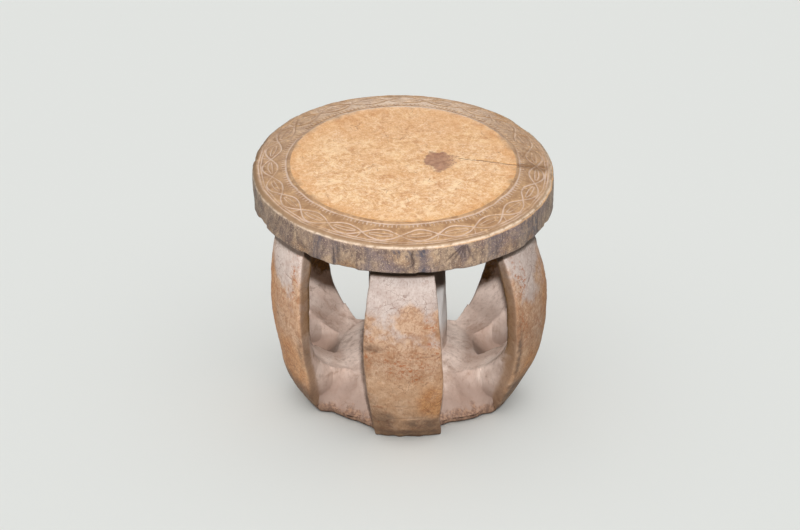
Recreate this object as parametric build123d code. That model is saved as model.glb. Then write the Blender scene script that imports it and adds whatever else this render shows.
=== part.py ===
"""Low round drum table, carved from one log: a thick domed top carried by six bowed staves
and a centre post, which all rise from one scooped foot.  Millimetres, +Z up, origin on the
floor under the middle of the table."""
from build123d import *
from math import cos, radians, sin, tan
import os

# ---- driving dimensions -------------------------------------------------------------------
table_height = 399.0          # floor to the middle of the top

top_diameter = 480.0
rim_height = 52.5             # straight side of the top
border_drop = 9.0             # the carved border falls away from the worn middle by this much
border_width = 57.0           # carved border, from the rim in to the worn middle
top_edge_bevel = 3.0          # both edges of the rim are worn
under_edge_bevel = 5.0
groove_depth = 1.6            # incised circles of the border
groove_half_width = 1.5
groove_insets = (13.0, 18.5)  # from the rim inwards: the pair of outer circles
middle_groove_outset = 3.0    # from the worn middle outwards: the inner circle

belly_inset = 18.0            # outer face of the staves inside the rim, halfway up
head_inset = 52.0             # the same face under the top
toe_lap = 5.0                 # the same face outside the foot's band, at the floor
stave_thickness = 28.0
stave_half_width = 65.0       # at the belly
stave_side_slope = 20.0       # degrees: the sides close in towards the middle of the table
stave_angles = (0.0, 67.5, 123.5, 180.0, 236.5, 292.5)   # clockwise from the front, set by eye
stave_names = ("front", "front_left", "back_left", "back", "back_right", "front_right")

post_diameter = 128.0
post_head_flare = 10.0        # the post widens by this much where it meets the top
post_head_height = 34.0

foot_radius = 175.0           # plain band that stands on the floor
foot_band_height = 11.0
rib_height = 140.0            # below this a stave thickens inwards into a rib
rib_hollow = 17.0             # how far the ribs' inner curve sags below its chord
root_share = 0.7              # the foot takes over from the rib this far down that curve
shoulder_height = 41.0        # the foot's wall behind the staves ends here
post_seat_height = 73.0       # the inner floor rises to this where the post stands
crest_inset = 67.0            # from the band in to where the scoops begin to fall
crest_height = 56.0
scoop_hollow = 7.0            # how far a scoop's bottom sags below its chord
scoop_corner_round = 20.0     # of a scoop's two lower edges
scoop_round_share = 0.7       # they never take more than this of its narrow end's half width
scoop_overrun = 0.06          # share of its own length by which a cutter passes both its ends

# ---- what follows from them ---------------------------------------------------------------
top_radius = top_diameter / 2
middle_radius = top_radius - border_width
belly_radius = top_radius - belly_inset
head_radius = top_radius - head_inset
toe_radius = foot_radius + toe_lap
crest_radius = foot_radius - crest_inset
post_radius = post_diameter / 2
rim_top = table_height - border_drop
top_underside = rim_top - rim_height
side_slope = tan(radians(stave_side_slope))
beyond = 40.0                 # how far cutting solids run past what they cut


def to_left(angle):
    """Turn about Z that carries the front (-Y) round by this angle, clockwise from above."""
    return -angle


def barrel_radius(height, inward=0.0):
    """Radius of the staves' bowed outer face, an arc through their toe, belly and head."""
    half = top_underside / 2
    toe_in, head_in = belly_radius - toe_radius, belly_radius - head_radius
    arc_in = (toe_in**2 + head_in**2 + 2 * half**2) / (2 * (toe_in + head_in))
    arc_up = (2 * arc_in * (toe_in - head_in) - toe_in**2 + head_in**2) / (4 * half)
    off_middle = height - half - arc_up
    arc_radius = (arc_in**2 + arc_up**2) ** 0.5
    return belly_radius - arc_in + (arc_radius**2 - off_middle**2) ** 0.5 - inward


def barrel_arc(low, high, inward=0.0):
    """Part of the bowed profile, from one height to another, on the XZ plane."""
    middle = (low + high) / 2
    points = [(barrel_radius(z, inward), z) for z in (low, middle, high)]
    return ThreePointArc(*points)


def turned(profile):
    """Solid of revolution from edges on the XZ plane that close a profile."""
    return revolve(Plane.XZ * make_face(profile), Axis.Z)


# ---- table top ----------------------------------------------------------------------------
def border_height(radius):
    """Height of the sloping border at a radius."""
    return rim_top + border_drop * (top_radius - radius) / (top_radius - middle_radius)


def groove(radius):
    """V of one incised circle in the border: its lip, bottom and lip as profile points."""
    outer, inner = radius + groove_half_width, radius - groove_half_width
    bottom = border_height(radius) - groove_depth
    return [(outer, border_height(outer)), (radius, bottom), (inner, border_height(inner))]


def make_table_top():
    """Thick disc with bevelled edges: flat in the middle, sloping and grooved at the border."""
    outline = [(0, top_underside), (top_radius, top_underside), (top_radius, rim_top)]
    for inset in groove_insets:
        outline += groove(top_radius - inset)
    outline += groove(middle_radius + middle_groove_outset)
    outline += [(middle_radius, table_height), (0, table_height)]
    face = make_face(Polyline(*outline, close=True))
    for height, size in ((top_underside, under_edge_bevel), (rim_top, top_edge_bevel)):
        corner = face.vertices().sort_by_distance((top_radius, height, 0))[0]
        face = chamfer(corner, size)
    return revolve(Plane.XZ * face, Axis.Z)


# ---- centre post --------------------------------------------------------------------------
def make_centre_post():
    """Round post from the inner floor up to the top, which it meets with a slight flare."""
    foot = post_seat_height
    head = top_underside
    flare_start = (post_radius, head - post_head_height)
    flare = TangentArc(flare_start, (post_radius + post_head_flare, head), tangent=(0, 1))
    profile = [
        Line((0, foot), (post_radius, foot)),
        Line((post_radius, foot), flare_start),
        flare,
        Line((post_radius + post_head_flare, head), (0, head)),
        Line((0, head), (0, foot)),
    ]
    return turned(profile)


# ---- staves -------------------------------------------------------------------------------
def sagging_arc(start, end, sag):
    """Arc between two points, sagging by this much to the left of the way from start."""
    start, end = Vector(start), Vector(end)
    way = (end - start).normalized()
    middle = (start + end) * 0.5 + Vector(-way.Y, way.X) * sag
    return ThreePointArc(start, middle, end)


def rib_curve():
    """Inner curve of a rib, from the back of the stave down to the crest of the inner floor."""
    rib_top = (barrel_radius(rib_height, stave_thickness), rib_height)
    return sagging_arc(rib_top, (crest_radius, crest_height), rib_hollow)


def make_stave():
    """One bowed stave at the front. Below the windows it thickens inwards into a rib, and it
    sits on the foot's shoulder and laps over the foot's wall down to the floor."""
    outer = barrel_arc(0, top_underside)
    back = barrel_arc(rib_height, top_underside, stave_thickness)
    rib = rib_curve().trim(0, root_share)
    shoulder = (foot_radius, shoulder_height)
    profile = [
        Line((foot_radius, 0), outer @ 0),
        outer,
        Line(outer @ 1, back @ 1),
        back,
        rib,
        Line(rib @ 1, shoulder),
        Line(shoulder, (foot_radius, 0)),
    ]
    return turned(profile) & side_wedge(stave_half_width)


def side_wedge(half_width):
    """Wedge towards -Y whose sides close in by the sides' slope, as wide as given at the belly."""
    outside = belly_radius + beyond
    tip = belly_radius - half_width / side_slope
    wide = (outside - tip) * side_slope
    plan = make_face(Polyline((0, -tip), (wide, -outside), (-wide, -outside), close=True))
    return extrude(plan, amount=top_underside)


# ---- foot ---------------------------------------------------------------------------------
def rib_side(distance, half_gap):
    """Half the clear width between two neighbouring ribs, this far out from the middle."""
    at_centre = stave_half_width - belly_radius * side_slope
    spread = cos(half_gap) + side_slope * sin(half_gap)
    along_stave = (distance - at_centre * sin(half_gap)) / spread
    return along_stave * sin(half_gap) - (at_centre + along_stave * side_slope) * cos(half_gap)


def make_scoop(gap_degrees):
    """Cutter for the hollow between two ribs, on the +X side: narrow inwards, open outwards,
    with a bottom that falls from the crest to the foot band and rounded lower corners."""
    half_gap = radians(gap_degrees / 2)
    across_foot = sagging_arc((foot_radius, foot_band_height), (crest_radius, crest_height), scoop_hollow)
    bottom = ThreePointArc(across_foot @ -scoop_overrun, across_foot @ 0.5, across_foot @ (1 + scoop_overrun))
    outer, inner = bottom @ 0, bottom @ 1
    top = post_seat_height + beyond
    side_view = [
        bottom,
        Line(inner, (inner.X, top)),
        Line((inner.X, top), (outer.X, top)),
        Line((outer.X, top), outer),
    ]
    slab = extrude(Plane.XZ * make_face(side_view), amount=belly_radius, both=True)
    near, far = rib_side(inner.X, half_gap), rib_side(outer.X, half_gap)
    plan = make_face(Polyline((inner.X, -near), (outer.X, -far), (outer.X, far), (inner.X, near), close=True))
    scoop = slab & (Pos(0, 0, -beyond) * extrude(plan, amount=top + 2 * beyond))
    low_edges = [edge for edge in scoop.edges() if runs_along_bottom(edge, top)]
    return fillet(low_edges, min(scoop_corner_round, scoop_round_share * near))


def runs_along_bottom(edge, top):
    """True for the long lower edges of a scoop, where its bottom meets its sides."""
    start, end = edge @ 0, edge @ 1
    lengthwise = abs(start.X - end.X) > 1
    return lengthwise and min(start.Z, end.Z) < top - 1


def make_foot():
    """Band, wall, shoulder, rib roots and sloping inner floor in one turned form, less the scoops."""
    shoulder = (foot_radius, shoulder_height)
    root = rib_curve().trim(root_share, 1)
    seat = (post_radius, post_seat_height)
    profile = [
        Line((0, 0), (foot_radius, 0)),
        Line((foot_radius, 0), shoulder),
        Line(shoulder, root @ 0),
        root,
        Line(root @ 1, seat),
        Line(seat, (0, post_seat_height)),
        Line((0, post_seat_height), (0, 0)),
    ]
    foot = turned(profile)
    following = stave_angles[1:] + (stave_angles[0] + 360.0,)
    for angle, next_angle in zip(stave_angles, following):
        middle = (angle + next_angle) / 2
        foot -= Rot(0, 0, to_left(middle) - 90) * make_scoop(next_angle - angle)
    return foot


# ---- the table ----------------------------------------------------------------------------
pieces = {"table_top": make_table_top(), "centre_post": make_centre_post(), "scooped_foot": make_foot()}
stave = make_stave()
for name, angle in zip(stave_names, stave_angles):
    pieces[name + "_stave"] = Rot(0, 0, to_left(angle)) * stave

os.makedirs("parts", exist_ok=True)
for name, shape in pieces.items():
    export_step(shape, "parts/" + name + ".step")
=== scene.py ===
"""Low round drum table carved from one upright log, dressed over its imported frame.
Metres, +Z up, the front stave faces -Y."""
import math
import bpy
import numpy as np
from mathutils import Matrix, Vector


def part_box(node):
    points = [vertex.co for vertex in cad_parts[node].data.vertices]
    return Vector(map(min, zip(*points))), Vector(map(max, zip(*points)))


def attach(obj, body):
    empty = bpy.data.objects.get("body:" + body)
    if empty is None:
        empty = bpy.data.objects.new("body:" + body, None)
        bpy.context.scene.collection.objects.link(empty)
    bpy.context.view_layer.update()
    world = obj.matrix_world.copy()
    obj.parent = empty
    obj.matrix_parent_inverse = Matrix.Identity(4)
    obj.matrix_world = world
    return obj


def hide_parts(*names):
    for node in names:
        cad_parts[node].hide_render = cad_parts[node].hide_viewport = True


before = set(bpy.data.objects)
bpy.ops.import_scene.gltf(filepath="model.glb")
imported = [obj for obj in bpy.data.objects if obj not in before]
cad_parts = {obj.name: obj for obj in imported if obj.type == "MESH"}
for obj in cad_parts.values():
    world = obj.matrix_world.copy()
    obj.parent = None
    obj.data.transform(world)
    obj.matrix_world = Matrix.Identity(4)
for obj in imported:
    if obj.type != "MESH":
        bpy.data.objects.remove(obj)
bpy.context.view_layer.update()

# ---- Table top -------------------------------------------------------
# A thick slab of end grain at the head of the log, adzed round at its rim. Its middle is worn
# smooth and pale; the border falls away from it and carries an incised chain of leaves.
TURN = 2 * math.pi
top_low, top_high = (np.array(corner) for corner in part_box("table_top"))
top_radius = top_high[0]
top_height = top_high[2]
top_underside = top_low[2]
border_drop = 0.009
rim_top = top_height - border_drop   # height of the rim's upper edge
rim_under = top_underside - 0.0004   # the underside hangs a little at the rim
worn_radius = 0.1785                 # pale middle
under_edge = 0.0030                  # radius of the slab's lower edge
brow_width, brow_height = 0.012, 0.0085    # its upper edge, a broad quarter ellipse
edge_drop = 0.0060                   # the rim's worn crest lies this far below its upper edge
kept_inside = 0.0002                 # dents and wear leave surfaces at least this far inside
lean = 0.009                         # the foot stands this far to the right of the top
tilt = 0.008                         # and the rim falls by this slope to the right


def rough(points, size, seed):
    """Smooth random height from -1 to 1: random values on a lattice of this size, blended
    between its eight nearest corners with the cubic 3t^2 - 2t^3."""
    table = np.random.RandomState(seed).uniform(-1, 1, 4096)
    scaled = np.asarray(points) / size
    cell = np.floor(scaled).astype(np.int64)
    inside = scaled - cell
    blend = inside * inside * (3 - 2 * inside)
    height = np.zeros(scaled.shape[:-1])
    for corner in np.ndindex(2, 2, 2):
        lattice = cell + np.array(corner)
        pick = lattice[..., 0] * 73856093 ^ lattice[..., 1] * 19349663 ^ lattice[..., 2] * 83492791
        weight = np.prod(np.where(np.array(corner) == 1, blend, 1 - blend), axis=-1)
        height += table[pick & 4095] * weight
    return height


def pitted(points, *layers):
    """Wear that only takes away: the sum of depth (1 + rough) over layers of depth, size and seed."""
    return sum(depth * (1 + rough(points, size, seed)) for depth, size, seed in layers)


def step(value, low, high):
    """0 below low, 1 above high, and 3t^2 - 2t^3 between them."""
    part = np.clip((value - low) / (high - low), 0, 1)
    return part * part * (3 - 2 * part)


def line(distance, width):
    """1 on a line, falling as a bell to nothing at about its width: exp(-(2d/width)^2)."""
    return np.exp(-(2 * distance / width) ** 2)


def once_round(count):
    """Evenly spaced angles of one full turn."""
    return np.linspace(0, TURN, count, endpoint=False)


def turned(radius, angle, height):
    """Points from radius, angle from +X and height."""
    return np.stack(np.broadcast_arrays(radius * np.cos(angle), radius * np.sin(angle), height), -1)


def bearing(angle):
    """Degrees to the right of the front, from -180 to 180, of an angle from +X."""
    return np.mod(np.degrees(angle) + 270, 360) - 180


def along_rim(degrees):
    """Length on the rim that spans this many degrees."""
    return degrees * math.pi / 180 * top_radius


def carved_shell(name, rings, **painted):
    """Closed mesh from rings of points, anticlockwise from above and from the bottom up, each end
    closed by a fan to its middle, all sheared to the right below the top: x + lean (1 - z/z_top).
    Extra arrays of one value per point become attributes."""
    rows, around, _ = rings.shape
    ends = np.array([rings[0].mean(axis=0), rings[-1].mean(axis=0)])
    corners = np.concatenate([rings.reshape(-1, 3), ends])
    corners[:, 0] += lean * np.clip(1 - corners[:, 2] / top_underside, 0, 1)
    index = np.arange(rows * around).reshape(rows, around)
    beside = np.roll(index, -1, axis=1)
    walls = np.stack([index[:-1], beside[:-1], beside[1:], index[1:]], axis=-1).reshape(-1, 4)
    first, last = np.full(around, rows * around), np.full(around, rows * around + 1)
    bottom = np.stack([first, beside[0], index[0]], axis=-1)
    top = np.stack([last, index[-1], beside[-1]], axis=-1)
    mesh = bpy.data.meshes.new(name)
    mesh.from_pydata(corners, [], walls.tolist() + bottom.tolist() + top.tolist())
    mesh.polygons.foreach_set("use_smooth", np.ones(len(mesh.polygons), bool))
    for label, values in painted.items():
        values = np.broadcast_to(values, (rows, around))
        values = np.concatenate([values.ravel(), [values[0].mean(), values[-1].mean()]])
        attribute = mesh.attributes.new(label, "FLOAT", "POINT")
        attribute.data.foreach_set("value", values.astype(np.float32))
    mesh.update()
    piece = bpy.data.objects.new(name, mesh)
    bpy.context.scene.collection.objects.link(piece)
    return piece


def run(radii, heights):
    """Profile points along a straight or level run."""
    return np.stack(np.broadcast_arrays(radii, heights), 1).astype(float)


def elliptic_corner(start, end, count, middle, reach):
    """Profile points on an ellipse between two angles, from its middle and its half widths."""
    angle = np.linspace(start, end, count)
    return run(middle[0] + reach[0] * np.cos(angle), middle[1] + reach[1] * np.sin(angle))


def top_profile():
    """Radius and height of the slab's outline, from under its middle round the rim to its top:
    straight runs, a quarter circle below and a broad quarter ellipse above, the border one slope."""
    below = run([0.06, 0.17, 0.2, 0.222], [top_underside] * 3 + [rim_under])
    low_middle = (top_radius - under_edge, rim_under + under_edge)
    low_edge = elliptic_corner(-math.pi / 2, 0, 5, low_middle, (under_edge, under_edge))
    side = run(top_radius, np.linspace(rim_under + under_edge, rim_top - brow_height, 23)[1:-1])
    border_start = top_radius - brow_width
    high_middle = (border_start, rim_top - brow_height)
    high_edge = elliptic_corner(0, math.pi / 2, 10, high_middle, (brow_width, brow_height))
    slope = border_drop / (border_start - worn_radius)
    border = np.linspace(border_start, worn_radius, 47)[1:]
    border = run(border, rim_top + slope * (border_start - border))
    middle = run(np.linspace(worn_radius, 0.006, 19)[1:], top_height)
    return np.concatenate([below, low_edge, side, high_edge, border, middle])


# The border is incised with circles along both its edges, teeth round the middle, and a chain.
carved_depth = 0.0011
outer_circle, second_circle, middle_circle = 0.2310, 0.2262, 0.1855
tooth_count, tooth_start, tooth_end, tooth_radius = 180, 0.186, 0.1925, 0.192
leaf_count = 23
first_crossing = math.radians(-91)
chain_radius, chain_reach = 0.2115, 0.0125


def chain_of_leaves(off, radius, angle):
    """The two crossing sine waves of the chain, with a smaller leaf inside each and a tick outside
    each crossing. The lines keep their width where a wave is steep: distance / sqrt(1 + slope^2)."""
    phase = leaf_count * (angle - first_crossing) / 2 - 0.3 * np.sin(2 * (angle - first_crossing))
    wave = chain_reach * np.sin(phase)
    slope = np.abs(chain_reach * leaf_count / 2 * np.cos(phase)) / chain_radius
    steep = 1 / np.sqrt(1 + slope**2)
    chain = np.maximum(line((off - wave) * steep, 0.0026), line((off + wave) * steep, 0.0026))
    inner_wave = 0.40 * np.abs(wave) - 0.0016
    leaf = line((np.abs(off) - inner_wave) * steep, 0.0022) * (inner_wave > 0.0010)
    crossing = (np.mod(phase / math.pi + 0.5, 1) - 0.5) * TURN / leaf_count * chain_radius
    tick = line(crossing + 0.4 * off, 0.0024) * (off > 0.003) * (radius < 0.2255)
    return np.maximum.reduce([chain, 0.75 * leaf, 0.7 * tick])


def border_carving(radius, angle):
    """Depth share of the whole border carving, on lines that wander a little as a hand does, and
    pressed unevenly."""
    around = turned(radius, angle, 0 * radius)
    radius = radius + 0.0014 * rough(around, 0.03, 5) + 0.0006 * rough(around, 0.011, 6)
    circles = np.maximum(line(radius - outer_circle, 0.0028), 0.8 * line(radius - second_circle, 0.0024))
    circles = np.maximum(circles, line(radius - middle_circle, 0.0034))
    tooth = np.abs(np.mod(angle * tooth_count / TURN, 1) - 0.5) * TURN / tooth_count * tooth_radius
    teeth = line(tooth, 0.0026) * (radius > tooth_start) * (radius < tooth_end)
    chain = chain_of_leaves(radius - chain_radius, radius, angle)
    pressure = 0.78 + 0.3 * rough(around, 0.02, 7)
    return np.clip(np.maximum.reduce([chain, circles, 0.8 * teeth]) * pressure, 0, 1)


# The drying crack's course, from the heart out to the rim: radii, and angles in radians.
crack_radii = (0.085, 0.0935, 0.115, 0.138, 0.160, 0.174, 0.205, 0.240)
crack_angles = (0.22, 0.185, 0.115, 0.065, 0.025, -0.004, 0.022, 0.030)
crack_width = 0.0024


def crack_distance(place, radius, angle):
    """How far a point is, along its circle, from the drying crack, which wanders as it goes."""
    middle = np.interp(radius, crack_radii, crack_angles)
    off = np.mod(angle - middle + math.pi, TURN) - math.pi
    return off * radius + 0.0011 * rough(place, 0.016, 8) + 0.0005 * rough(place, 0.006, 9)


# Where the rim's blue-black streaks gather: bearing in degrees, spread and strength.
streak_places = ((-34.0, 2.2, 0.9), (-26.0, 3.0, 0.7), (-13.0, 2.0, 0.6), (7.6, 1.3, 1.0),
                 (21.0, 2.0, 0.4), (36.0, 5.0, 0.6), (58.0, 9.0, 1.0), (95.0, 14.0, 0.6),
                 (150.0, 16.0, 0.8), (-66.0, 5.0, 0.3), (-110.0, 18.0, 0.7))
fan_bearing = 24.5                   # the fan of cracks starts here
fan_slants = (-1.15, -0.72, -0.38, -0.08, 0.30)
hatch_middle, hatch_half, hatch_pitch, hatch_slant = 0.0095, 0.029, 0.0082, 0.6
split_middle = 0.0160


def streak_share(angle):
    """The strongest of some bells round the rim, one for each place where streaks gather."""
    share = np.zeros_like(angle)
    for middle, spread, strength in streak_places:
        off = np.mod(bearing(angle) - middle + 180, 360) - 180
        share = np.maximum(share, strength * np.exp(-((off / spread) ** 2)))
    return share


def fan_of_cracks(angle, height):
    """Short cracks in the side, right of the front, that fan out downwards from one point."""
    along = along_rim(bearing(angle) - fan_bearing)
    down = rim_top - 0.004 - height
    share = np.zeros_like(angle)
    for slant in fan_slants:
        share = np.maximum(share, line((along - slant * down) / math.hypot(1, slant), 0.0026))
    return share * step(down, 0.003, 0.008) * (1 - step(down, 0.022, 0.034))


def slanted_hatch(angle, height):
    """Short slanting knife strokes side by side over a stretch of the side at the front."""
    along = along_rim(bearing(angle))
    down = rim_top - height
    stroke = (np.mod((along - hatch_slant * down) / hatch_pitch, 1) - 0.5) * hatch_pitch
    reach = step(hatch_half - np.abs(along - hatch_middle), 0, 0.006)
    return line(stroke, 0.0048) * reach * step(down, 0.006, 0.009) * (1 - step(down, 0.016, 0.026))


def upright_split(angle, height):
    """One longer split that winds down the side at the front as a sine wave."""
    down = rim_top - height
    off = along_rim(bearing(angle)) - split_middle - 0.0015 * np.sin(260 * down)
    return line(off, 0.0036) * step(down, 0.007, 0.014) * (1 - step(down, 0.034, 0.042))


def side_wear(angle, place, around, height):
    """Depth of the wear on the slab's side, and its cracks, chips and streaks: adze marks in three
    sizes, chips along both edges, short cracks and upright splits where the streaks gather."""
    adzed = 0.5 + 0.7 * rough(around, 0.045, 1) + 0.55 * rough(around, 0.013, 2)
    adzed = adzed + 0.35 * rough(place, 0.006, 3)
    low_chips = step(rough(around, 0.020, 4), 0.30, 0.80) * line(height - rim_under, 0.028)
    high_chips = step(rough(place, 0.013, 10), 0.25, 0.8) * line(np.abs(height - rim_top) - 0.005, 0.014)
    cracks = np.maximum(fan_of_cracks(angle, height), upright_split(angle, height))
    streaks = streak_share(angle)
    splits = streaks * step(rough(around * np.array([1, 1, 0.2]), 0.0035, 11), 0.25, 0.7)
    inward = 0.0009 * np.clip(adzed, 0, 3) + 0.0030 * low_chips + 0.0014 * high_chips
    return inward + 0.0009 * cracks + 0.0005 * splits, np.maximum(splits, cracks), low_chips, streaks


def out_of_round(angle):
    """How far the hand-cut rim lies inside a true circle: waves of two and five to the turn, and
    one slow random wave."""
    outline = 0.0005 * (1 + np.sin(2 * angle + 0.6)) + 0.0004 * (1 + np.sin(5 * angle)) - 0.0003
    return outline + pitted(turned(1.0, angle, 0 * angle), (0.0005, 0.16, 12))


def make_top():
    """The profile turned through a full circle, then dented inwards by the wear on its side, with
    the border's carving, low waves in the worn middle and a drying crack that runs out to the rim."""
    profile = top_profile()
    radius, angle = np.meshgrid(profile[:, 0], once_round(960), indexing="ij")
    height = np.repeat(profile[:, 1:], angle.shape[1], axis=1)
    place = turned(radius, angle, height)
    around = turned(radius, angle, 0.3 * height)
    inward, splits, low_chips, streaks = side_wear(angle, place, around, height)
    hatch = slanted_hatch(angle, height) * step(rough(place, 0.006, 20), -0.5, 0.2)
    on_side = step(rim_top - height, edge_drop - 0.0015, edge_drop + 0.0015) * step(radius, 0.200, 0.225)
    on_top = (height > rim_top - 0.003) * step(top_radius - radius, 0.005, 0.009)

    carving = border_carving(radius, angle) * on_top
    off_crack = crack_distance(place, radius, angle)
    crack = line(off_crack, crack_width) * step(radius, 0.085, 0.092) * on_top
    waves = pitted(place, (0.0006, 0.06, 13), (0.00025, 0.016, 14))
    drop = on_top * waves + carved_depth * carving + 0.0010 * crack
    lifted = 0.0026 * step(rough(around, 0.05, 15), 0.2, 0.9)
    lifted = lifted + 0.0016 * step(rough(around, 0.014, 16), 0.3, 0.9)
    from_under = np.abs(height - rim_under)
    lifted = lifted * step(radius, 0.205, 0.232) * (1 - step(from_under, 0.004, 0.020))
    rim_share = step(radius, 0.15, top_radius)
    height = height - drop + lifted - tilt * place[..., 0] * rim_share
    height = np.minimum(height, top_height - kept_inside)
    inward = inward * step(radius, top_radius - 0.012, top_radius - 0.004)
    rings = turned(radius - inward - out_of_round(angle) * rim_share, angle, height)

    border = step(radius + 0.0012 * rough(place, 0.013, 19), worn_radius - 0.0004, worn_radius + 0.0012)
    border = border * (height > rim_top - edge_drop)
    crest = line(rim_top - edge_drop + 0.0013 - height, 0.0024)
    crest = crest * step(radius, top_radius - 0.010, top_radius - 0.004)
    brow = step(radius, top_radius - 0.0085, top_radius - 0.0045) * (height > rim_top - 0.012)
    tongue = 0.0100 + 0.0075 * rough(place, 0.013, 17)
    stain = 1 - step(np.abs(off_crack - 0.002), 0.35 * tongue, 1.3 * tongue)
    stain = stain * step(radius, 0.174, 0.186) * on_top
    toward_front = -np.sin(angle) - 0.15 * np.cos(angle)
    pale_cuts = step(toward_front + 0.25 * rough(place, 0.05, 18), -0.65, 0.10)
    crack = crack * (1 - step(radius, 0.180, 0.190))
    return carved_shell("table_top_carved", rings, border=border, side=on_side, edge=crest, brow=brow,
                        carving=carving, pale_cuts=pale_cuts, crack=crack, stain=stain, hatch=hatch,
                        streaks=streaks, splits=splits * on_side, chips=low_chips * on_side)


# Materials are built from a few node helpers; colours are given as seen, in 0 to 255.
def seen(red, green, blue):
    """Linear colour for a colour as seen: ((c + 0.055) / 1.055)^2.4."""
    return tuple(((c / 255 + 0.055) / 1.055) ** 2.4 for c in (red, green, blue)) + (1,)


class Finish:
    """One procedural wood finish: a Principled shader with the nodes that feed it."""

    def __init__(self, name, roughness):
        self.material = bpy.data.materials.new(name)
        self.material.use_nodes = True
        self.tree = self.material.node_tree
        self.shader = self.tree.nodes["Principled BSDF"]
        self.shader.inputs["Roughness"].default_value = roughness
        self.place = self.node("TexCoord", "Object", {})
        self.east, self.north, self.rise = (
            self.node("SeparateXYZ", axis, {0: self.place}) for axis in "XYZ")

    def node(self, kind, output, values, **settings):
        """Output of a new node, its inputs given as values or as other nodes' outputs."""
        made = self.tree.nodes.new("ShaderNode" + kind)
        for name, setting in settings.items():
            setattr(made, name, setting)
        for socket, value in values.items():
            self.put(made.inputs[socket], value)
        return made.outputs[output]

    def put(self, socket, value):
        if isinstance(value, bpy.types.NodeSocket):
            self.tree.links.new(value, socket)
        else:
            socket.default_value = value

    def stretched(self, x, y, z):
        """Object coordinates scaled by axis, so that a pattern runs along the grain."""
        return self.node("Mapping", "Vector", {"Vector": self.place, "Scale": (x, y, z)})

    def noise(self, scale, detail=4.0, roughness=0.55, distortion=0.0, vector=None):
        return self.node("TexNoise", "Fac", {
            "Vector": vector or self.place, "Scale": scale, "Detail": detail,
            "Roughness": roughness, "Distortion": distortion})

    def warped(self, amount, scale):
        """Object coordinates shifted at random by up to about this much."""
        shift = self.node("TexNoise", "Color", {"Vector": self.place, "Scale": scale})
        shift = self.vectors("SUBTRACT", shift, (0.5, 0.5, 0.5))
        return self.vectors("MULTIPLY_ADD", shift, (amount, amount, amount), self.place)

    def vectors(self, operation, *values, output="Vector"):
        return self.node("VectorMath", output, dict(enumerate(values)), operation=operation)

    def cracks(self, scale, vector):
        """Distance to the edges of random cells: 0 along a network of fine lines."""
        values = {"Vector": vector, "Scale": scale}
        return self.node("TexVoronoi", "Distance", values, feature="DISTANCE_TO_EDGE")

    def span(self, value, low, high, start=0.0, end=1.0):
        """The value from low to high carried over, smoothly, to start to end."""
        values = {"Value": value, "From Min": low, "From Max": high, "To Min": start, "To Max": end}
        return self.node("MapRange", "Result", values, interpolation_type="SMOOTHSTEP")

    def maths(self, operation, *values):
        return self.node("Math", 0, dict(enumerate(values)), operation=operation)

    def both(self, first, second):
        """One share times another."""
        return self.maths("MULTIPLY", first, second)

    def painted(self, label):
        return self.node("Attribute", "Fac", {}, attribute_name=label)

    def mix(self, share, under, over):
        """The colour over laid on the colour under by this share."""
        return self.node("Mix", 2, {"Factor": share, 6: under, 7: over}, data_type="RGBA")

    def coated(self, colour, *coats):
        """The colour with coats laid on it in turn, each a share and a colour as seen."""
        for share, red, green, blue in coats:
            colour = self.mix(share, colour, seen(red, green, blue))
        return colour

    def finish(self, colour, relief, depth):
        """Puts the colour and a bump of this depth on the shader."""
        bump = self.node("Bump", "Normal", {"Distance": depth, "Height": relief})
        self.put(self.shader.inputs["Base Color"], colour)
        self.put(self.shader.inputs["Normal"], bump)
        return self.material


heart_place = (0.0595, 0.009, 0)     # the log's heart, off the middle to the right
heart_size = (0.0305, 0.0340, 1)


def pale_end_grain(wood, fleck):
    """The worn middle: amber end grain, creamier towards the front, with pale and burnt flecks, a
    warmer rim and short checks."""
    soft = wood.span(wood.noise(80, 5, 0.68, 0.6), 0.38, 0.62)
    pale = wood.mix(soft, seen(212, 158, 102), seen(236, 196, 146))
    toward = wood.span(wood.north, -0.17, 0.15, 0.10, -0.12)
    toward = wood.span(wood.maths("ADD", toward, wood.noise(22, 5, 0.65, 0.4)), 0.34, 0.62, 0.2, 1.0)
    cream = wood.both(wood.span(wood.noise(170, 6, 0.76, 0.9), 0.46, 0.60), toward)
    burnt = wood.span(wood.noise(36, 8, 0.76, 1.0), 0.51, 0.62)
    burnt = wood.both(burnt, wood.span(fleck, 0.35, 0.6, 1.0, 0.55))
    paler = wood.span(wood.noise(30, 8, 0.76, 1.0, wood.warped(0.02, 25)), 0.51, 0.62)
    paler = wood.both(paler, wood.span(wood.north, 0.12, -0.06, 0.15, 0.7))
    from_middle = wood.vectors("LENGTH", wood.stretched(1, 1, 0), output="Value")
    checks = wood.span(wood.cracks(42, wood.warped(0.02, 40)), 0.0, 0.03, 0.8, 0.0)
    checks = wood.both(checks, wood.span(wood.noise(30, 4, 0.6), 0.56, 0.66))
    return wood.coated(
        pale,
        (wood.span(wood.noise(13, 5, 0.6, 0.8), 0.42, 0.62, 0, 0.6), 216, 160, 104),
        (wood.both(cream, 0.6), 253, 232, 200),
        (wood.span(fleck, 0.50, 0.66, 0, 0.45), 252, 230, 196),
        (wood.span(fleck, 0.48, 0.34, 0, 0.5), 194, 142, 92),
        (wood.both(burnt, 0.8), 190, 128, 72),
        (paler, 252, 226, 188),
        (wood.span(from_middle, 0.135, 0.183, 0, 0.35), 222, 164, 100),
        (checks, 150, 92, 52))


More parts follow.
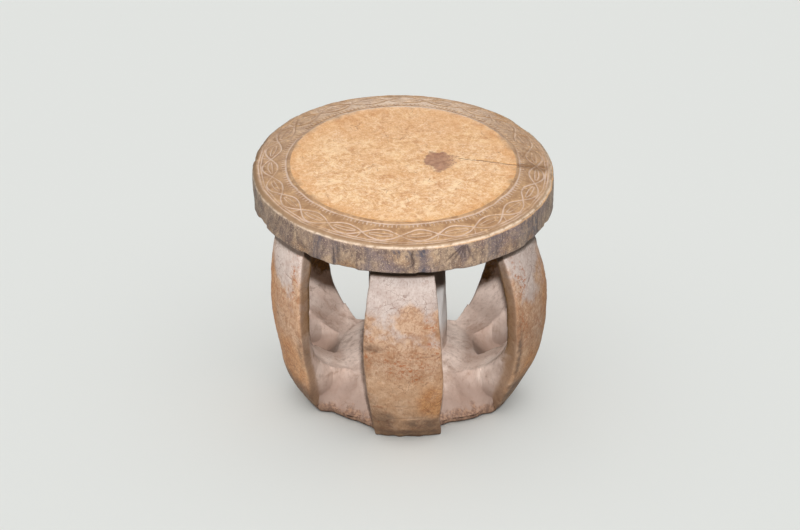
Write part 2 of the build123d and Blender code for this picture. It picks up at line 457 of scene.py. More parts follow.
def dark_heart(wood, fleck, pale):
    """The log's heart laid on the pale middle: a ragged brown patch, speckled on its right."""
    centred = {"Vector": wood.place, "Location": heart_place, "Scale": heart_size}
    centred = wood.node("Mapping", "Vector", centred, vector_type="TEXTURE")
    ragged = wood.span(wood.noise(60, 5, 0.65), 0.25, 0.75, -0.24, 0.24)
    ragged = wood.maths("ADD", wood.vectors("LENGTH", centred, output="Value"), ragged)
    grain = wood.span(wood.noise(110, 5, 0.7), 0.35, 0.65)
    pith = wood.mix(grain, seen(176, 130, 102), seen(140, 94, 70))
    speckled = wood.coated(pith, (wood.span(fleck, 0.42, 0.60), 232, 190, 142))
    pith = wood.mix(wood.span(wood.east, 0.062, 0.080, 0.0, 0.75), pith, speckled)
    return wood.mix(wood.span(ragged, 0.80, 1.05, 0.92, 0.0), pale, pith)


def border_grime_and_shade(wood, fleck):
    """The border: brown grime in patches and flecks, cuts that show pale at the front, a brown
    stain beside the drying crack, and painted shade on the brow above the rim, which is painted darker."""
    grime = wood.span(wood.noise(48, 6, 0.65, 0.8), 0.35, 0.68)
    border = wood.coated(
        wood.mix(grime, seen(190, 156, 122), seen(156, 121, 90)),
        (wood.span(wood.north, 0.08, 0.22, 0, 0.2), 210, 170, 124),
        (wood.span(wood.noise(300, 4, 0.65), 0.48, 0.78, 0, 0.6), 124, 88, 60),
        (wood.span(wood.noise(150, 3, 0.6), 0.54, 0.72, 0, 0.6), 226, 192, 150))
    cut = wood.mix(wood.painted("pale_cuts"), seen(140, 104, 76), seen(216, 196, 184))
    depth = wood.span(wood.painted("carving"), 0.15, 0.70, 0, 0.75)
    depth = wood.both(depth, wood.span(wood.noise(120, 4, 0.6), 0.30, 0.52, 0.45, 1.0))
    depth = wood.both(depth, wood.span(wood.painted("pale_cuts"), 0.0, 1.0, 0.45, 1.0))
    stain = wood.both(wood.painted("stain"), wood.span(fleck, 0.3, 0.6, 0.75, 0.45))
    # Painted shade: the brow above the rim is painted darker.
    brow = wood.both(wood.painted("brow"), 0.8)
    return wood.coated(wood.mix(depth, border, cut), (stain, 112, 80, 50), (brow, 150, 124, 98))


def hewn_side(wood, fleck):
    """The side: mottled grey-brown bark side with mauve and golden drifts, pale and dark specks,
    blue-black streaks that run down it, knife strokes, splits, and paler wood where it chipped."""
    down = wood.stretched(1, 1, 0.35)
    mottle = wood.span(wood.noise(40, 7, 0.70, 0.8, wood.stretched(1, 1, 0.6)), 0.38, 0.62)
    mauve = wood.span(wood.noise(19, 5, 0.65, 0.4), 0.42, 0.60)
    mauve = wood.both(mauve, wood.span(wood.east, -0.20, 0.02, 0.25, 0.9))
    golden = wood.span(wood.noise(26, 5, 0.65, 0.6), 0.56, 0.68)
    golden = wood.both(golden, wood.span(wood.noise(700, 2, 0.6), 0.3, 0.6, 0.3, 1.0))
    streaks = wood.span(wood.painted("streaks"), 0.25, 0.85)
    ragged = wood.span(wood.noise(190, 5, 0.66, 0.4, down), 0.47, 0.58)
    return wood.coated(
        wood.mix(mottle, seen(186, 162, 138), seen(118, 98, 88)),
        (mauve, 124, 110, 114),
        (wood.both(golden, 0.35), 184, 144, 104),
        (wood.span(wood.noise(240, 3, 0.6, 0.3, down), 0.48, 0.68, 0, 0.65), 88, 74, 70),
        (wood.span(wood.noise(420, 3, 0.7), 0.52, 0.70, 0, 0.8), 216, 194, 170),
        (wood.span(wood.noise(380, 3, 0.7), 0.54, 0.72, 0, 0.65), 84, 70, 64),
        (wood.both(streaks, 0.4), 116, 104, 104),
        (wood.both(streaks, wood.both(ragged, 0.75)), 76, 76, 88),
        (wood.both(wood.painted("hatch"), 0.75), 74, 76, 92),
        (wood.both(wood.painted("splits"), 0.8), 62, 46, 42),
        (wood.both(wood.painted("chips"), wood.span(fleck, 0.35, 0.6, 0.0, 0.6)), 196, 154, 110))


def worn_top_wood():
    """Pale flecked end grain in the middle with the dark heart, brown grimed border with pale cuts,
    hewn side, a broken cream line along the rim's worn crest, and the drying crack."""
    wood = Finish("worn_top_wood", 0.55)
    fleck = wood.noise(330, 4, 0.68, 0.5)
    middle = dark_heart(wood, fleck, pale_end_grain(wood, fleck))
    colour = wood.mix(wood.painted("border"), middle, border_grime_and_shade(wood, fleck))
    colour = wood.mix(wood.painted("side"), colour, hewn_side(wood, fleck))
    crest = wood.both(wood.painted("edge"), wood.span(wood.noise(75, 6, 0.75), 0.38, 0.56, 0.1, 0.95))
    crack = wood.span(wood.painted("crack"), 0.15, 0.7, 0, 0.85)
    colour = wood.coated(colour, (crest, 234, 216, 196), (crack, 112, 72, 44))
    relief = wood.maths("ADD", wood.both(fleck, 0.5), wood.both(wood.noise(130, 6, 0.7), 0.7))
    return wood.finish(colour, relief, 0.0007)


table_top = make_top()
table_top.data.materials.append(worn_top_wood())
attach(table_top, "root")
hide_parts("table_top")

# ---- Staves ----------------------------------------------------------
# Six bowed staves left standing when the log was hollowed, their sides closing in towards the
# middle; each thickens at its foot into a rib. Their arrises are rounded by handling.
belly_radius, toe_radius, head_radius = 0.222, 0.180, 0.188
half_width, side_slope = 0.065, math.tan(math.radians(20))
stave_width, stave_depth, arris_radius = 0.120, 0.028, 0.0056
rib_top, rib_root = 0.140, 0.0704
crest_radius, crest_height, rib_sag = 0.108, 0.056, 0.017
rib_lap = 0.005                      # stave and foot run this far into each other along the rib
stave_turns = {"front": 0, "front_left": 67.5, "back_left": 123.5,
               "back": 180, "back_right": 236.5, "front_right": 292.5}
bow_shifts = {"front_left": -0.0065, "back_left": -0.004, "back_right": 0.004, "front_right": 0.0070}


def bowed_radius(height):
    """Radius of the staves' outer face: the circle through their toe, belly and head."""
    half = top_underside / 2
    toe_in, head_in = belly_radius - toe_radius, belly_radius - head_radius
    arc_in = (toe_in**2 + head_in**2 + 2 * half**2) / (2 * (toe_in + head_in))
    arc_up = (2 * arc_in * (toe_in - head_in) - toe_in**2 + head_in**2) / (4 * half)
    reach = math.hypot(arc_in, arc_up)
    return belly_radius - arc_in + np.sqrt(reach**2 - (height - half - arc_up) ** 2)


def arc_through(start, end, sag):
    """Middle and radius of the circle through two points that sags this far to the left of the
    way between them: its middle lies (radius - sag) to the right of the chord's middle."""
    start, end = np.array(start), np.array(end)
    chord = end - start
    length = np.hypot(*chord)
    radius = (length**2 / 4 + sag**2) / (2 * sag)
    right = np.array([chord[1], -chord[0]]) / length
    return (start + end) / 2 + right * (radius - sag), radius


rib_start = (bowed_radius(rib_top) - stave_depth, rib_top)
rib_middle, rib_bend = arc_through(rib_start, (crest_radius, crest_height), rib_sag)


def inner_radius(height):
    """Radius of a stave's back: its depth behind the outer face, and below the windows the rib's
    circle, r = r0 + sqrt(R^2 - (z - z0)^2), held below the root, where the foot takes over."""
    back = bowed_radius(height) - stave_depth
    rib_height = np.clip(height, rib_root - rib_lap, rib_top)
    rib = rib_middle[0] + np.sqrt(rib_bend**2 - (rib_height - rib_middle[1]) ** 2)
    return np.where(height > rib_top, back, rib + 0.0006 * step(rib_root - height, -0.001, 0.004))


def rounded_outline(width, depth, corner, count):
    """Points evenly spaced round a rectangle, each drawn to the inner rectangle and pushed out
    again by the corner radius: q + corner (p - q) / |p - q|, the corners at the back rounder.
    Lateral and depth, anticlockwise."""
    round_it = 2 * (width + depth)
    way = np.mod(np.linspace(0, round_it, count, endpoint=False) + width / 2, round_it)
    turns = [0, width, width + depth, 2 * width + depth, round_it]
    lateral = np.interp(way, turns, [-width / 2, width / 2, width / 2, -width / 2, -width / 2])
    inward = np.interp(way, turns, [0, 0, depth, depth, 0])
    corner = np.where(inward > depth / 2, 2.2 * corner, corner)
    near_lateral = np.clip(lateral, corner - width / 2, width / 2 - corner)
    near = np.stack([near_lateral, np.clip(inward, corner, depth - corner)], -1)
    away = np.stack([lateral, inward], -1) - near
    return near + corner[:, None] * away / np.maximum(np.linalg.norm(away, axis=-1, keepdims=True), 1e-9)


# Marks on the staves' faces: share across the face, height, and how far each spreads both ways.
rust_marks = {
    "front": ((0.36, 0.226, 0.10, 0.030), (-0.20, 0.177, 0.10, 0.014), (0.38, 0.186, 0.10, 0.020),
              (-0.42, 0.185, 0.07, 0.030), (0.10, 0.150, 0.30, 0.030)),
    "front_left": ((0.36, 0.255, 0.12, 0.045), (0.10, 0.200, 0.25, 0.020), (-0.1, 0.110, 0.35, 0.040)),
    "front_right": ((-0.30, 0.262, 0.13, 0.040), (-0.36, 0.190, 0.10, 0.060), (0.1, 0.150, 0.35, 0.030))}
amber_marks = {
    "front": ((0.38, 0.080, 0.24, 0.040),),
    "front_left": ((-0.40, 0.180, 0.28, 0.090), (0.1, 0.090, 0.40, 0.050)),
    "front_right": ((0.40, 0.170, 0.26, 0.090), (0.0, 0.080, 0.40, 0.045))}
dark_marks = {
    "front": ((0.26, 0.034, 0.36, 0.013), (-0.26, 0.045, 0.16, 0.014), (-0.38, 0.188, 0.14, 0.008),
              (0.05, 0.014, 0.6, 0.006)),
    "front_left": ((0.1, 0.040, 0.5, 0.022), (0.50, 0.125, 0.10, 0.032)),
    "front_right": ((-0.2, 0.050, 0.4, 0.022), (-0.44, 0.130, 0.06, 0.060))}
back_marks = ((0.2, 0.22, 0.22, 0.035), (-0.25, 0.15, 0.25, 0.04), (0.1, 0.07, 0.35, 0.03))
# Painted shadow of the top on the front staves' heads: the rim's radius, and the slope and reach below
# it.
soot_rim, soot_slope, soot_reach = 0.237, 0.608, 0.007


def patches(lateral, height, marks):
    """The strongest of some bells on a stave's face, one for each mark."""
    share = np.zeros(np.broadcast_shapes(lateral.shape, height.shape))
    for middle, level, wide, tall in marks:
        off = ((lateral - middle) / wide) ** 2 + ((height - level) / tall) ** 2
        share = np.maximum(share, np.exp(-off))
    return share


def stave_levels():
    """Heights of a stave's cross-sections, closest where the rib runs into the foot."""
    low, rib = np.linspace(0.0, 0.04, 14)[:-1], np.linspace(0.04, 0.09, 26)[:-1]
    return np.concatenate([low, rib, np.linspace(0.09, top_underside + 0.004, 124)])


def off_root(height):
    """1, but nothing at the rib's root, where stave and foot have to keep to one curve."""
    return 1 - line(height - rib_root, 0.05)


def stave_sections(height, outer, lateral, reach, tucked, front, seed):
    """Sideways places of a stave's points: its width closes in with depth and towards both ends,
    and the whole sways a little as it rises. The front stave's toe is wider and stands further
    right, its belly further left."""
    spread = rough(np.stack([0 * height + seed, 0 * height, height], -1), 0.05, 12)
    spread = 1 + 0.014 * spread * off_root(height)
    width = half_width - (belly_radius - outer[:, None]) * side_slope - reach * side_slope
    width = 2 * width * spread[:, None]
    toe = 1 - step(height, 0.0, 0.05)
    narrowed = (0.006 + 0.003 * front) * step(height, 0.12, 0.25) - 0.0110 * front * toe
    width = width - (narrowed + 0.026 * tucked)[:, None] * (1 - 0.5 * reach / stave_depth).clip(0, 1)
    sway = rough(np.stack([0 * height, 0 * height + seed, height], -1), 0.07, 11)
    sway = 0.0014 * sway * off_root(height)
    bent = 0.0035 * toe - 0.0030 * step(height, 0.10, 0.17) * (1 - step(height, 0.22, 0.33))
    return lateral[None] * width + (sway + front * bent)[:, None]


def make_stave(side, turn, seed):
    """Cross-sections up the stave: a rounded outline whose sides close in with depth, laid on the
    bowed face, r = r_outer - reach, then dented by adze marks, worn pits and small checks across
    the grain, tucked in at the toe, bowed by its own measure and turned to its place."""
    front = float(side == "front")
    height = stave_levels()
    outer = bowed_radius(np.minimum(height, top_underside))
    unit = rounded_outline(stave_width, stave_depth, arris_radius, 148)
    lateral, inward = unit[:, 0] / stave_width, unit[:, 1] / stave_depth
    reach = inward[None] * (outer - inner_radius(height))[:, None]
    tucked = (1 - front) * np.clip(1 - height / 0.055, 0, 1) ** 2
    across = stave_sections(height, outer, lateral, reach, tucked, front, seed)
    rise = np.broadcast_to(height[:, None], across.shape)
    flat = np.stack([across, reach, rise], -1) + np.array([seed * 0.37, 0, 0])
    face = 1 - step(inward, 0.0, 0.16)[None] * np.ones_like(rise)
    from_arris = np.abs(np.abs(lateral) - 0.5)[None] * stave_width

    pits = pitted(flat, (0.0005, 0.05, 13), (0.0003, 0.013, 14))
    pits = pits + 0.0003 * step(rough(flat, 0.005, 15), 0.1, 0.8)
    chips = 0.0026 * step(rough(flat, 0.015, 16), 0.35, 0.8) * line(from_arris, 0.014) * face
    wander = rough(flat * np.array([0.30, 1, 2.2]), 0.03, 17) * 0.02
    checks = line(wander, 0.0010) * step(rough(flat, 0.05, 18), 0.10, 0.45)
    dents = 0.0010 * rough(flat, 0.030, 19) + 0.0005 * rough(flat, 0.010, 20)
    dents = dents * step(rise, rib_root, rib_root + 0.02)
    worn_toe = 0.0016 * line(rise, 0.012) * (1 + rough(flat, 0.010, 24)) + 0.0080 * tucked[:, None]
    worn = (pits + chips + 0.0006 * checks + worn_toe) * face
    radial = outer[:, None] - reach - worn + dents * (1 - face)
    radial = np.minimum(radial, outer[:, None] - kept_inside)
    bulge = step(height, 0.03, 0.09) * (1 - step(height, 0.20, 0.32))
    held = 1 - inward[None] * (1 - step(height, 0.09, 0.15))[:, None]
    radial = radial + bow_shifts.get(side, 0.0) * bulge[:, None] * held
    pinched = step(rough(flat, 0.012, 25), 0.2, 0.8) * off_root(height)[:, None]
    across = across * (1 - 0.010 * pinched)
    rings = turned(radial, np.arcsin(across / radial) - math.radians(90 + turn), rise)

    skin = 1 - 0.15 * step(inward, 0.0, 0.16)[None] - 0.85 * step(reach, 0.016, 0.025)
    arris = line(from_arris - 0.0018, 0.008) * step(1 - inward, 0.5, 0.9)[None]
    # Painted shadow: a dark band on the faces of the front half, lower where the top's rim overhangs them
    # further.
    overhang = np.sqrt(soot_rim**2 - np.clip(rings[..., 0] ** 2, 0, 0.055)) + rings[..., 1]
    under_rim = rise - (top_underside - soot_slope * overhang - soot_reach)
    soot = step(under_rim, -0.002, 0.002) * (rings[..., 1] < 0) * skin
    rust, amber, dark = (patches(lateral[None], rise, marks.get(side, back_marks))
                         for marks in (rust_marks, amber_marks, dark_marks))
    return carved_shell(side + "_stave_bowed", rings, face=skin, arris=arris, soot=soot,
                        check=checks * face, rust=rust * face, amber=amber * face, dark=dark * skin)


def dry_colour(wood):
    """Colour of cut inner surfaces: grey-pink beige with darker drifts and fine upright grain, dull
    low in the scoops and in their corners, and a brown grimed band at the floor."""
    grain = wood.noise(190, 6, 0.65, 0.5, wood.stretched(1, 1, 0.3))
    broad = wood.span(wood.noise(15, 5, 0.6, 0.6), 0.40, 0.64)
    beside = wood.span(wood.maths("ABSOLUTE", wood.east), 0.085, 0.110)
    beside = wood.both(beside, wood.span(wood.north, -0.060, -0.030))
    dry = wood.coated(
        wood.mix(broad, seen(226, 209, 199), seen(202, 180, 168)),
        (wood.span(wood.noise(44, 5, 0.65, 0.4), 0.52, 0.70, 0, 0.5), 142, 110, 90),
        (wood.span(grain, 0.46, 0.74, 0, 0.42), 122, 96, 82),
        (wood.span(wood.rise, 0.030, 0.066, 0.84, 0.0), 144, 122, 111),
        (wood.both(beside, wood.span(wood.rise, 0.076, 0.100, 0.4, 0.0)), 132, 104, 88))
    level = wood.maths("ADD", wood.rise, wood.span(wood.noise(60, 5, 0.65), 0.25, 0.75, -0.007, 0.007))
    grimed = wood.mix(wood.span(grain, 0.4, 0.6), seen(160, 126, 102), seen(104, 76, 60))
    return wood.mix(wood.span(level, 0.010, 0.019, 0.8, 0.0), dry, grimed)


def stave_ground(wood, drift, mottle, leather):
    """Ground of a stave's face by height: grimed foot, leathery tan middle, pale pink-grey head."""
    middle = wood.coated(
        wood.mix(wood.span(mottle, 0.38, 0.62), seen(200, 169, 143), seen(174, 136, 106)),
        (wood.span(leather, 0.47, 0.60, 0, 0.55), 146, 100, 68),
        (wood.span(leather, 0.44, 0.32, 0, 0.5), 226, 200, 176))
    head = wood.coated(
        wood.mix(wood.span(mottle, 0.36, 0.66), seen(206, 195, 190), seen(186, 171, 165)),
        (wood.span(leather, 0.50, 0.64, 0, 0.45), 158, 128, 116))
    foot = wood.coated(
        wood.mix(wood.span(mottle, 0.38, 0.62), seen(172, 138, 108), seen(136, 104, 80)),
        (wood.span(leather, 0.47, 0.62, 0, 0.5), 98, 72, 54))
    lower = wood.both(wood.span(drift, 0.045, 0.075), wood.span(wood.rise, 0.115, 0.150, 0.4, 0.0))
    ground = wood.mix(wood.span(drift, 0.018, 0.070), foot, middle)
    return wood.mix(wood.span(drift, 0.215, 0.262), wood.coated(ground, (lower, 222, 184, 148)), head)


def stave_marks(wood, drift, mottle, leather, fine, ground):
    """Amber and rusty patches, scattered flecks, smoke, fine grain and crazing over the ground."""
    honey = wood.mix(wood.span(leather, 0.4, 0.6), seen(206, 152, 98), seen(166, 108, 62))
    amber = wood.span(wood.painted("amber"), 0.15, 0.75, 0, 0.8)
    amber = wood.both(amber, wood.span(mottle, 0.3, 0.55, 0.55, 1.0))
    flecks = wood.span(wood.noise(210, 4, 0.68, 0.4), 0.50, 0.60)
    flecks = wood.both(flecks, wood.span(wood.noise(60, 4, 0.6), 0.42, 0.56))
    scattered = wood.span(wood.noise(75, 5, 0.7, 0.4), 0.60, 0.68)
    scattered = wood.both(scattered, wood.span(drift, 0.05, 0.22, 0.4, 0.12))
    smoke = wood.span(wood.painted("dark"), 0.10, 0.9, 0, 0.85)
    smoke = wood.both(smoke, wood.span(wood.noise(70, 5, 0.7, 0.5), 0.36, 0.60, 0.35, 1.0))
    crazing = wood.span(wood.cracks(68, wood.warped(0.016, 60)), 0.0, 0.035, 0.6, 0.0)
    crazing = wood.both(crazing, wood.span(wood.noise(26, 4, 0.6), 0.45, 0.60))
    return wood.coated(
        wood.mix(amber, ground, honey),
        (wood.both(flecks, wood.span(wood.painted("rust"), 0.12, 0.6, 0, 0.8)), 164, 98, 54),
        (scattered, 160, 96, 54),
        (smoke, 104, 82, 66),
        (wood.span(fine, 0.50, 0.74, 0, 0.5), 124, 84, 60),
        (crazing, 104, 68, 48))


def handled_wood():
    """Bark-side face of the staves with its marks, browner flanks, arrises and backs of drier cut
    wood; painted shade in dark brown above the foot's scoops and close under the top, and a painted
    shadow of the top's rim on the front staves' heads."""
    wood = Finish("handled_wood", 0.62)
    drift = wood.span(wood.noise(17, 5, 0.6), 0.2, 0.8, -0.055, 0.055)
    drift = wood.maths("ADD", wood.rise, drift)
    mottle = wood.noise(34, 8, 0.70, 0.6)
    leather = wood.noise(150, 7, 0.72, 0.9)
    fine = wood.noise(420, 4, 0.7, 0.4, wood.stretched(1, 1, 0.45))
    face, arris = wood.painted("face"), wood.painted("arris")
    ground = stave_ground(wood, drift, mottle, leather)
    marked = stave_marks(wood, drift, mottle, leather, fine, ground)
    marked = wood.coated(marked, (wood.span(face, 1.0, 0.85, 0.0, 0.6), 128, 100, 76))

    leathery = wood.mix(wood.span(leather, 0.44, 0.62, 0, 0.6), seen(190, 158, 136), seen(142, 106, 82))
    # Painted shade: cut surfaces higher than about 0.13 m are painted dark golden brown, for the top's
    # shade on the staves' backs.
    painted_shade_inside = wood.mix(wood.span(leather, 0.42, 0.60), seen(150, 108, 38), seen(104, 72, 16))
    dry = dry_colour(wood)
    cut = wood.mix(0.55, dry, leathery)
    dry = wood.mix(wood.span(drift, 0.112, 0.146, 0, 0.95), dry, painted_shade_inside)
    rubbed = wood.both(arris, wood.span(wood.noise(60, 5, 0.65), 0.54, 0.68, 0, 0.15))
    # Painted shade: the staves' last 3 cm under the top are painted near black-brown.
    painted_shade_under_top = wood.span(wood.rise, top_underside - 0.0300, top_underside - 0.0270, 0, 0.9)
    colour = wood.coated(
        wood.mix(face, wood.mix(wood.both(arris, 0.9), dry, cut), marked),
        (rubbed, 200, 164, 130),
        (wood.span(wood.painted("check"), 0.3, 0.9, 0, 0.5), 108, 74, 56),
        (painted_shade_under_top, 58, 34, 12),
        # Painted shadow of the top's rim on the front staves' heads.
        (wood.both(wood.painted("soot"), 0.8), 66, 42, 18))
    relief = wood.maths("ADD", wood.both(leather, 0.6), wood.both(fine, 0.4))
    return wood.finish(colour, relief, 0.0009)


stave_wood = handled_wood()
staves = {}
for seed, (side, turn) in enumerate(stave_turns.items()):
    stave = make_stave(side, turn, seed)
    stave.data.materials.append(stave_wood)
    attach(stave, "root")
    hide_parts(side + "_stave")
    staves[side] = stave

# ---- Centre post -----------------------------------------------------
# The log's core, left as a stout round post and hewn by hand, so it is slightly many-sided;
# it widens a little where it runs up into the top.
post_radius, post_flare, flare_rise = 0.064, 0.010, 0.034
post_seat = 0.073
post_offset = 0.0045                 # the post stands a little right of the middle


def make_post():
    """Rings up the post: r = r0 + flare t^2 near the head, less shallow adze scallops, with both
    ends sunk a little into the foot and the top."""
    height = np.linspace(post_seat - 0.012, top_underside + 0.003, 90)[:, None]
    angle = once_round(200)[None]
    near_head = np.clip((height - (top_underside - flare_rise)) / flare_rise, 0, 1)
    place = turned(post_radius, angle, height * 0.5)
    scallops = 0.0008 * np.abs(np.sin(7 * angle + 1.5 * rough(place, 0.05, 22)))
    hewn = pitted(place, (0.0012, 0.03, 21)) + scallops + 0.0003 * rough(place, 0.007, 23)
    rings = turned(post_radius - 0.0012 + post_flare * near_head**2 - hewn, angle, height)
    rings[..., 0] += post_offset
    return carved_shell("centre_post_hewn", rings)


def dry_wood():
    """Cut inner surfaces of post and foot: dry, grey-beige, with fine grain and no polish; the post
    is painted near white from low down as painted light, and dark from halfway up as painted shade."""
    wood = Finish("dry_wood", 0.75)
    # Painted light: the post is painted near white from 0.09 to 0.13 m up.
    paler = wood.span(wood.rise, 0.090, 0.130, 0, 0.9)
    # Painted shade of the top on the post, dark brown above about 0.18 m.
    sooty = wood.span(wood.rise, 0.178, 0.196, 0, 0.85)
    colour = wood.coated(dry_colour(wood), (paler, 248, 250, 252), (sooty, 80, 52, 24))
    relief = wood.noise(170, 6, 0.65, 0.5, wood.stretched(1, 1, 0.25))
    return wood.finish(colour, relief, 0.0007)


inner_wood = dry_wood()
post = make_post()
post.data.materials.append(inner_wood)
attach(post, "root")
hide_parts("centre_post")

# ---- Foot ------------------------------------------------------------
# The base of the log: a round plain band on the floor, an inner floor that rises to the post,
# and six scoops chiselled down to the band between the ribs, with rounded lower corners.
foot_radius, band_height, band_edge = 0.175, 0.011, 0.005
scoop_sag, scoop_corner = 0.007, 0.024
rib_root_radius = 0.1426
scoop_start = (foot_radius, band_height)
scoop_middle, scoop_bend = arc_through(scoop_start, (crest_radius, crest_height), scoop_sag)
worn_bearings = (-70, -45, -30, -18, 0, 18, 28, 42, 70)
worn_depths = (0.013, 0.013, 0.017, 0.010, 0.010, 0.015, 0.021, 0.009, 0.013)


def scoop_floor(radius):
    """Height along the bottom of a scoop: the lower arc of its circle, z0 - sqrt(R^2 - (r - r0)^2)."""
    return scoop_middle[1] - np.sqrt(scoop_bend**2 - (radius - scoop_middle[0]) ** 2)


def rib_line(radius):
    """Height of the ribs' inner curve at a radius, and past its root the shoulder behind a stave."""
    root = rib_root_radius + 0.8 * rib_lap
    inside = np.clip(rib_bend**2 - (np.clip(radius, crest_radius, root) - rib_middle[0]) ** 2, 0, None)
    under_stave = 0.0005 * step(radius - rib_root_radius, -0.001, 0.003)
    under_stave = under_stave + 0.9 * np.clip(radius - root, 0, None)
    return rib_middle[1] - np.sqrt(inside) - under_stave


def gap_to_ribs(radius, angle):
    """Distance out of the nearest rib's side, negative inside the rib."""
    gap = np.full(np.broadcast_shapes(radius.shape, angle.shape), 9.0)
    for turn in stave_turns.values():
        off = angle - math.radians(-90 - turn)
        lateral, along = radius * np.sin(off), radius * np.cos(off)
        side = np.abs(lateral) - (half_width - (belly_radius - along) * side_slope)
        gap = np.minimum(gap, np.where(along > 0, side * math.cos(math.atan(side_slope)), 9.0))
    return gap


def scooped_height(radius, gap):
    """The inner floor's slope inside the crest; outside it the scoops' floor, raised near each rib's
    side by a fillet, g -> c - sqrt(c^2 - (c - g)^2), up to the rib, the two joined by the smooth
    minimum -w log(exp(-a/w) + exp(-b/w))."""
    into = np.clip(scoop_corner - gap, 0, scoop_corner)
    fillet = scoop_corner - np.sqrt(scoop_corner**2 - into**2)
    scooped = np.where(gap > 0, scoop_floor(np.maximum(radius, crest_radius)) + fillet, 0.2)
    blend = 0.0001 + 0.0055 * step(radius, crest_radius, crest_radius + 0.016)
    scooped = -blend * np.logaddexp(-scooped / blend, -rib_line(radius) / blend)
    slope = (post_seat - crest_height) / (crest_radius - post_radius)
    return np.where(radius > crest_radius, scooped, crest_height + slope * (crest_radius - radius))


def chisel_marks(radius, angle, gap, place):
    """Depth of the tool marks: flutes across the scoops, a broken outer edge and fine unevenness,
    all left out where the ribs run into the staves."""
    flutes = np.abs(np.sin(17 * angle + 2.6 * rough(place, 0.06, 31))) * step(radius, 0.1, 0.125)
    at_edge = step(radius, foot_radius - 0.007, foot_radius - 0.001)
    broken = step(rough(place, 0.011, 36), 0.1, 0.7) * at_edge
    marks = 0.0004 * flutes + 0.0022 * broken + pitted(place, (0.0008, 0.035, 32), (0.0004, 0.010, 33))
    marks = marks + 0.0002 * rough(place, 0.005, 34)
    return marks * (1 - (1 - step(gap, -0.003, 0.006)) * line(radius - rib_root_radius, 0.024))


def make_foot():
    """Rings from under the foot over its rounded band, then a height over a polar grid from the
    band in to the post. Between the staves the band is worn back."""
    level = run([0.06, 0.12, 0.155, 0.170], 0.0)
    middle = (foot_radius - band_edge, band_edge)
    rounded = elliptic_corner(-1.2, 0, 4, middle, (band_edge, band_edge))
    band = np.concatenate([level, rounded, run(foot_radius, [0.007, 0.009])])
    radius = np.linspace(foot_radius, post_radius - 0.006, 88)[:, None]
    angle = once_round(900)[None]
    gap = gap_to_ribs(radius, angle)
    place = turned(radius, angle, 0 * radius)
    height = scooped_height(radius, gap) - chisel_marks(radius, angle, gap, place)
    worn = np.interp(bearing(angle), worn_bearings, worn_depths) * step(gap[:1], -0.002, 0.018)
    outline = 0.0008 * (1 + np.sin(3 * angle)) + pitted(place[:1], (0.0006, 0.02, 35))
    outline = outline + worn * (1 + 0.12 * rough(place[:1], 0.03, 37))
    upper = turned(radius - outline * step(radius, crest_radius + 0.006, foot_radius) ** 2, angle, height)
    lower = turned(band[:, :1] - outline * step(band[:, :1], 0.12, 0.168), angle, band[:, 1:])
    return carved_shell("scooped_foot_chiselled", np.concatenate([lower, upper]))


foot = make_foot()
foot.data.materials.append(inner_wood)
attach(foot, "root")
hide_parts("scooped_foot")

# ---- Room: floor, light and camera -----------------------------------
# A plain pale floor under an even pale sky. A small bright lamp just above the camera and some
# broad ones light the table alone, and a very broad one overhead the floor alone, for soft shade.
bpy.ops.mesh.primitive_plane_add(size=60)
floor = bpy.context.object
floor.name = "pale_floor"
floor_paint = Finish("pale_floor_paint", 0.9)
floor_paint.shader.inputs["Base Color"].default_value = seen(232, 233, 229)
floor.data.materials.append(floor_paint.material)
floor.visible_diffuse = False        # so that it throws no light up under the top

aim = Vector((0.0, 0.0, 0.216))
lamp_distance, camera_distance, camera_rise = 5.0, 10.8, 31.3


def looking(distance, turn, rise):
    """Point this far from the aim, turned to the right of the front and raised, in degrees."""
    turn, rise = math.radians(turn), math.radians(rise)
    flat = distance * math.cos(rise)
    return aim + Vector((flat * math.sin(turn), -flat * math.cos(turn), distance * math.sin(rise)))


def facing(thing, place):
    """Puts a camera or lamp at a place, looking at the aim."""
    thing.location = place
    thing.rotation_euler = (aim - place).to_track_quat("-Z", "Y").to_euler()
    bpy.context.scene.collection.objects.link(thing)


def group_of(name, *pieces, state="INCLUDE"):
    """Collection of pieces that a lamp lights alone or, with EXCLUDE, leaves out."""
    group = bpy.data.collections.new(name)
    for piece in pieces:
        group.objects.link(piece)
    for link in group.collection_objects:
        link.light_linking.link_state = state
    return group


def area_lamp(name, size, energy, colour, turn, rise, group, highlight=1.0):
    """Square lamp turned to the right of the front and raised, that lights one group."""
    light = bpy.data.lights.new(name, "AREA")
    light.size, light.energy, light.color = size, energy, colour
    light.specular_factor = highlight
    lamp = bpy.data.objects.new(name, light)
    facing(lamp, looking(lamp_distance, turn, rise))
    lamp.light_linking.receiver_collection = group


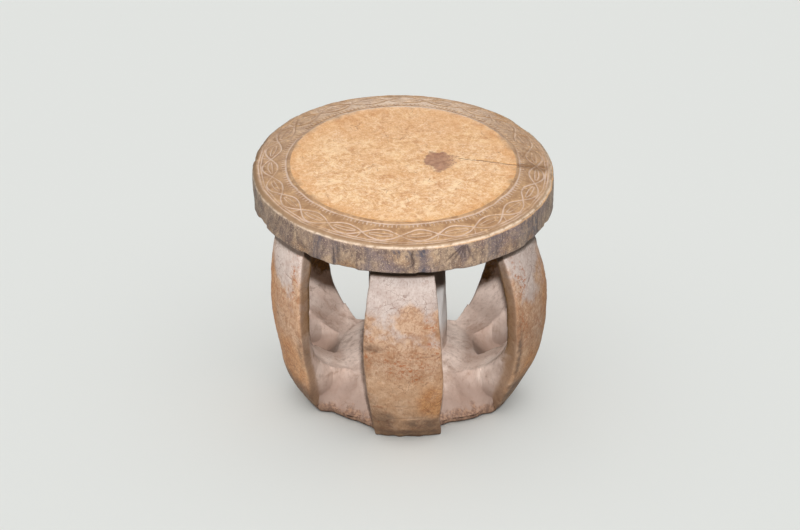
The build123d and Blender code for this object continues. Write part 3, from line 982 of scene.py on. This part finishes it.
def sky_lamp(name, angle, energy, colour, tip, group):
    """Very broad even light on one group from above, tipped by this many degrees about X."""
    light = bpy.data.lights.new(name, "SUN")
    light.angle, light.energy, light.color = math.radians(angle), energy, colour
    lamp = bpy.data.objects.new(name, light)
    lamp.rotation_euler.x = math.radians(tip)
    bpy.context.scene.collection.objects.link(lamp)
    lamp.light_linking.receiver_collection = group
    return lamp


back_staves = [staves[side] for side in ("back_left", "back", "back_right")]
but_floor = group_of("all_but_floor", floor, state="EXCLUDE")
but_back = group_of("all_but_floor_and_back_staves", floor, *back_staves, state="EXCLUDE")
left_stave = group_of("left_stave_alone", staves["front_left"])
floor_alone = group_of("floor_alone", floor)
flash_white, soft_white = (1.0, 0.97, 0.95), (1.0, 0.95, 0.89)
area_lamp("flash", 0.16, 232, flash_white, 0.9, 36.4, but_floor)
area_lamp("left_softbox", 0.9, 68, soft_white, -62, 35, but_back)
area_lamp("right_softbox", 0.9, 72, soft_white, 62, 35, but_back)
area_lamp("stave_softbox", 0.9, 100, soft_white, -62, 32, left_stave)
area_lamp("back_softbox", 0.9, 80, soft_white, 180, 8, but_floor, highlight=0.0)
sky_lamp("hall_light", 165, 0.32, (1.0, 0.80, 0.52), 20, but_floor)
overhead = sky_lamp("overhead", 130, 3.02, (0.975, 0.99, 1.0), -18, floor_alone)
overhead.light_linking.blocker_collection = group_of("shades_the_floor", foot)

sky = bpy.data.worlds.new("pale_sky")
sky.use_nodes = True
sky.node_tree.nodes["Background"].inputs["Color"].default_value = (1.0, 0.95, 0.88, 1)
sky.node_tree.nodes["Background"].inputs["Strength"].default_value = 0.035
bpy.context.scene.world = sky

lens = bpy.data.cameras.new("camera")
lens.sensor_width, lens.lens = 36, 305.3
lens.shift_x, lens.shift_y = -0.0030, -0.0036
camera = bpy.data.objects.new("camera", lens)
facing(camera, looking(camera_distance, 0, camera_rise))
camera.rotation_euler.rotate_axis("Z", math.radians(0.6))
bpy.context.scene.camera = camera
bpy.context.scene.view_settings.view_transform = "Standard"
